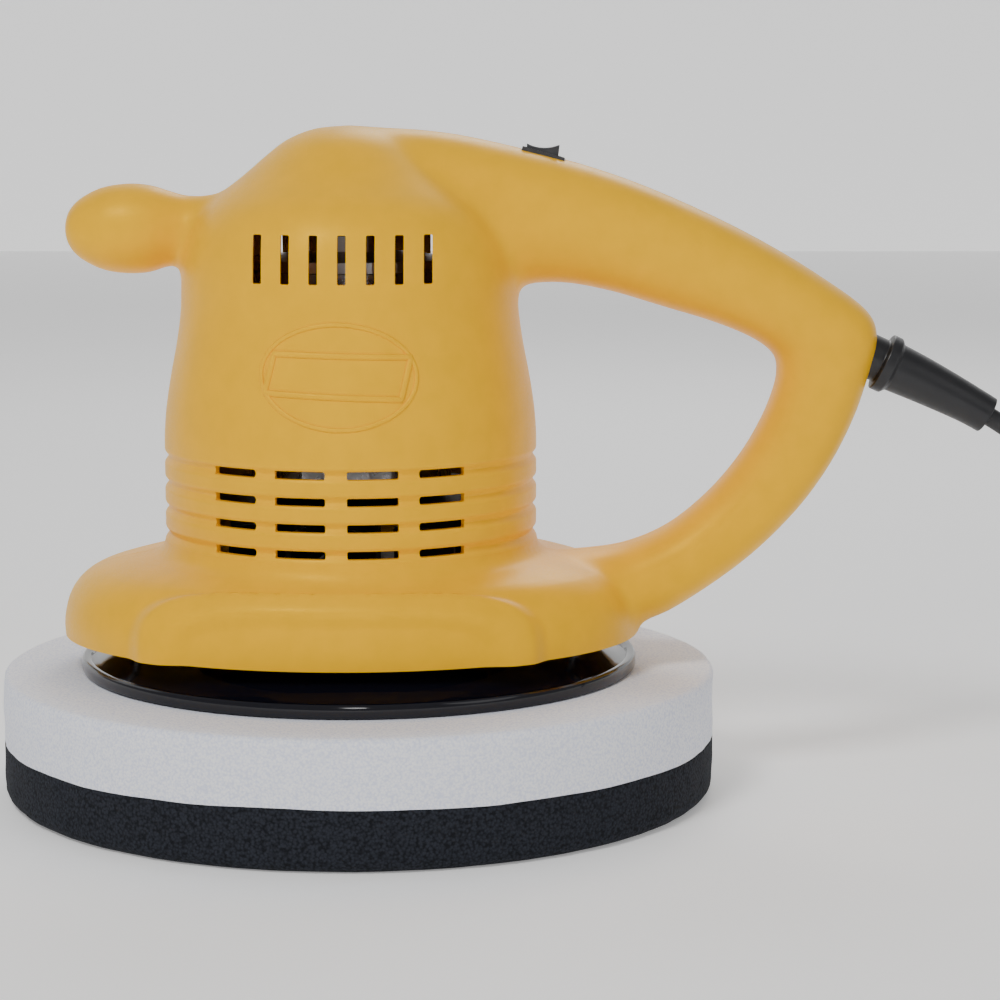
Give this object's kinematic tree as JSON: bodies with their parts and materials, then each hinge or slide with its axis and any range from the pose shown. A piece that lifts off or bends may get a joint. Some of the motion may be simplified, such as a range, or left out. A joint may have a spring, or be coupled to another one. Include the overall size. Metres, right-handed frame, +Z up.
{
  "type": "orbital car polisher",
  "caption": "Hand-held car polisher with a round motor housing, front knob, D handle, rocker switch and a wide foam pad on an eccentric spindle.",
  "frame": {"origin": "where the motor axis meets the pad's working face", "axes": "+X towards the D handle and cord, +Z up along the motor axis, -Y towards the viewer's side"},
  "size_m": [0.5067, 0.2716, 0.2235],
  "materials": {
    "yellow_plastic": "fine moulded texture, satin",
    "black_plastic": "satin",
    "gloss_black": "glossy moulded",
    "rubber": "satin rubber",
    "cord_sheath": "satin sheath",
    "steel": "brushed",
    "alloy": "as cast",
    "iron": "laminated and cast iron",
    "copper": "enamelled copper",
    "brass": "bright",
    "ferrite": "dark grey ceramic",
    "carbon": "dull carbon",
    "white_foam": "open-cell polyurethane foam",
    "dark_foam": "coarse open-cell foam",
    "hook_fabric": "woven hook tape",
    "brown_insulation": "insulation",
    "blue_insulation": "insulation",
    "red_insulation": "insulation",
    "black_insulation": "insulation"
  },
  "bodies": {
    "housing": {"housing_front": "yellow_plastic", "housing_back": "yellow_plastic", "housing_screw_1": "steel", "housing_screw_2": "steel", "housing_screw_3": "steel", "housing_screw_4": "steel", "housing_screw_5": "steel", "housing_screw_6": "steel", "housing_screw_7": "steel", "housing_screw_8": "steel", "motor_can": "steel", "motor_end_cap": "alloy", "magnet_1": "ferrite", "magnet_2": "ferrite", "bearing_lower": "steel", "bearing_upper": "steel", "support_ring": "rubber", "fan_baffle": "black_plastic", "brush_holder_1": "brass", "brush_holder_2": "brass", "carbon_brush_1": "carbon", "carbon_brush_2": "carbon", "rectifier": "black_plastic", "capacitor": "brown_insulation", "lead_live": "brown_insulation", "lead_neutral": "blue_insulation", "lead_switched": "black_insulation", "lead_motor_1": "red_insulation", "lead_motor_2": "black_insulation", "switch_case": "black_plastic", "switch_terminal_1": "brass", "switch_terminal_2": "brass", "cord_tail": "cord_sheath", "cord_clamp": "black_plastic", "clamp_screw_1": "steel", "clamp_screw_2": "steel", "cord_sleeve": "rubber", "cord_run": "cord_sheath", "cord_coil": "cord_sheath", "cord_end": "cord_sheath", "coil_tie": "hook_fabric", "plug_body": "black_plastic", "plug_blade_1": "brass", "plug_blade_2": "brass"},
    "rotor": {"motor_shaft": "steel", "armature_core": "iron", "winding_upper": "copper", "winding_lower": "copper", "commutator": "copper", "fan": "black_plastic", "counterweight": "iron", "grub_screw": "steel", "spindle_bolt": "steel", "spindle_washer": "steel"},
    "pad_carrier": {"pad_bearing": "steel", "backing_plate": "gloss_black", "hook_layer": "hook_fabric", "foam_white": "white_foam", "foam_dark": "dark_foam"},
    "switch_rocker": {"rocker": "black_plastic"}
  },
  "joints": [
    {"name": "motor_spin", "type": "hinge", "parent": "housing", "child": "rotor", "pos_m": [0, 0, 0.1], "axis": [0, 0, 1], "continuous": true},
    {"name": "pad_spin", "type": "hinge", "parent": "rotor", "child": "pad_carrier", "pos_m": [0.00235, 0.00441, 0.052], "axis": [0, 0, 1], "continuous": true},
    {"name": "switch_tilt", "type": "hinge", "parent": "housing", "child": "switch_rocker", "pos_m": [0.06398, 0, 0.21323], "axis": [0, 1, 0], "range_deg": [0, 26]}
  ]
}
